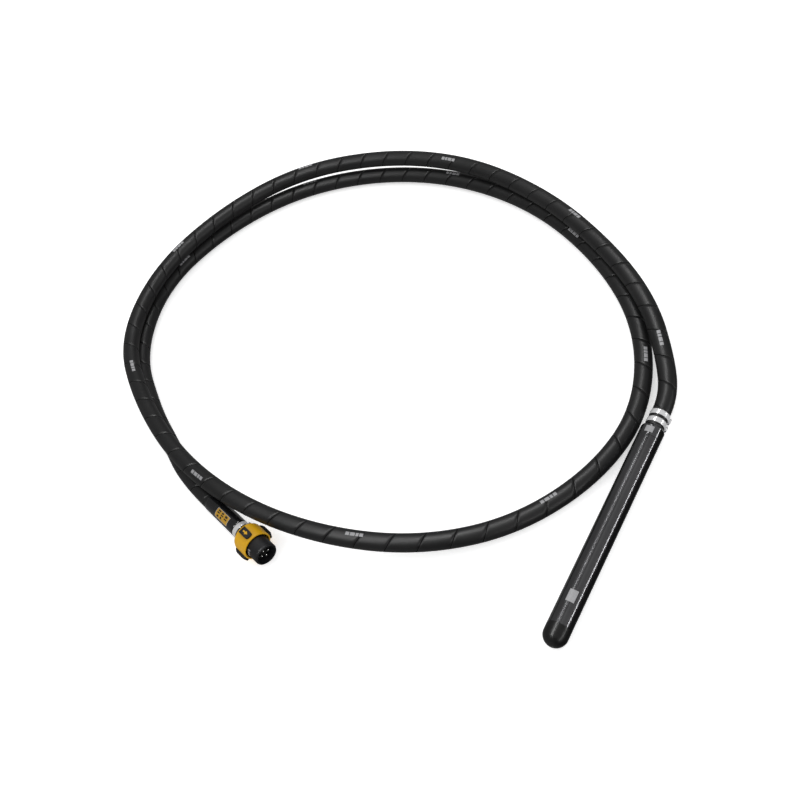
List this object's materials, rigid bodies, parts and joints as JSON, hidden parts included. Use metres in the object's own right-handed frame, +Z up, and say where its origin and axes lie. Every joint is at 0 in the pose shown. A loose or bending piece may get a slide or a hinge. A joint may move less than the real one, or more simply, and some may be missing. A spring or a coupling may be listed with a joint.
{
  "type": "concrete vibrator",
  "caption": "High-frequency poker vibrator for fresh concrete: slim steel motor head, long armoured rubber hose laid in loose loops, and a bayonet plug.",
  "frame": {"origin": "under the middle of the vibrator head, on the surface it lies on", "axes": "+Z up; +Y along the head, from its nose to its hose"},
  "size_m": [1.0762, 0.9025, 0.065],
  "materials": {
    "tube_steel": "ground and oil-blackened, satin",
    "nose_black": "hardened cap, black satin",
    "sleeve_steel": "turned and oil-blackened, satin",
    "clamp_steel": "bright stainless band",
    "hose_rubber": "spirally wrapped black rubber, satin",
    "sleeve_black": "shrunk sleeve, glossy black",
    "label_yellow": "plain yellow label under clear film",
    "ring_yellow": "moulded yellow",
    "pad_black": "soft grip, matte",
    "plug_black": "moulded black, matte",
    "insert_black": "moulded black, matte",
    "pin_silver": "silver-plated",
    "shaft_steel": "ground",
    "weight_steel": "turned",
    "bearing_steel": "ground and polished",
    "cage_brass": "machined",
    "core_steel": "stacked sheet",
    "copper": "enamelled copper wire",
    "end_ring_aluminium": "cast",
    "holder_aluminium": "turned",
    "wire_sheath": "red insulation",
    "seal_rubber": "smooth",
    "switch_body": "moulded",
    "spring_steel": "spring steel",
    "backshell_black": "moulded black"
  },
  "bodies": {
    "casing": {"head_tube": "tube_steel", "nose_cap": "nose_black", "end_sleeve": "sleeve_steel", "nose_seal": "seal_rubber", "sleeve_seal": "seal_rubber", "rear_bearing_holder": "holder_aluminium", "stator_core": "core_steel", "stator_winding": "copper", "motor_leads": "wire_sheath", "wire_grommet": "seal_rubber", "thermal_switch": "switch_body", "bearing_circlips": "spring_steel", "hose_end_cuff": "hose_rubber", "hose_clamp_1": "clamp_steel", "hose_clamp_2": "clamp_steel", "hose": "hose_rubber", "plug_tail": "hose_rubber", "shrink_sleeve": "sleeve_black", "sleeve_label": "label_yellow", "plug_clamp": "clamp_steel", "backshell": "backshell_black", "plug_shell": "plug_black", "contact_insert": "insert_black", "contact_pins": "pin_silver", "plug_leads": "wire_sheath", "plug_seal": "seal_rubber", "snap_ring": "spring_steel", "front_bearing_outer": "bearing_steel", "middle_bearing_outer": "bearing_steel", "rear_bearing_outer": "bearing_steel"},
    "rotor": {"rotor_shaft": "shaft_steel", "eccentric_weight": "weight_steel", "weight_key": "shaft_steel", "rotor_core": "core_steel", "rotor_end_rings": "end_ring_aluminium", "bearing_spacer": "shaft_steel", "front_bearing_inner": "bearing_steel", "middle_bearing_inner": "bearing_steel", "rear_bearing_inner": "bearing_steel"},
    "front_cage": {"front_bearing_balls": "bearing_steel", "front_bearing_cage": "cage_brass"},
    "middle_cage": {"middle_bearing_balls": "bearing_steel", "middle_bearing_cage": "cage_brass"},
    "rear_cage": {"rear_bearing_balls": "bearing_steel", "rear_bearing_cage": "cage_brass"},
    "lock_ring": {"lock_ring": "ring_yellow", "top_grip_pad": "pad_black", "side_grip_pads": "pad_black", "arrow_mark": "ring_yellow"}
  },
  "joints": [
    {"name": "rotor_spin", "type": "hinge", "parent": "casing", "child": "rotor", "pos_m": [0, 0, 0.019], "axis": [0, 1, 0], "continuous": true},
    {"name": "front_cage_spin", "type": "hinge", "parent": "casing", "child": "front_cage", "pos_m": [0, 0, 0.019], "axis": [0, 1, 0], "continuous": true},
    {"name": "middle_cage_spin", "type": "hinge", "parent": "casing", "child": "middle_cage", "pos_m": [0, 0, 0.019], "axis": [0, 1, 0], "continuous": true},
    {"name": "rear_cage_spin", "type": "hinge", "parent": "casing", "child": "rear_cage", "pos_m": [0, 0, 0.019], "axis": [0, 1, 0], "continuous": true},
    {"name": "lock_ring_turn", "type": "hinge", "parent": "casing", "child": "lock_ring", "pos_m": [-0.5184, -0.24263, 0.02707], "axis": [-0.9557, 0.292, -0.0358], "range_deg": [0, 25]}
  ],
  "couplings": [
    {"joint": "front_cage_spin", "follows": "rotor_spin", "ratio": 0.3682},
    {"joint": "middle_cage_spin", "follows": "rotor_spin", "ratio": 0.3682},
    {"joint": "rear_cage_spin", "follows": "rotor_spin", "ratio": 0.3765}
  ]
}
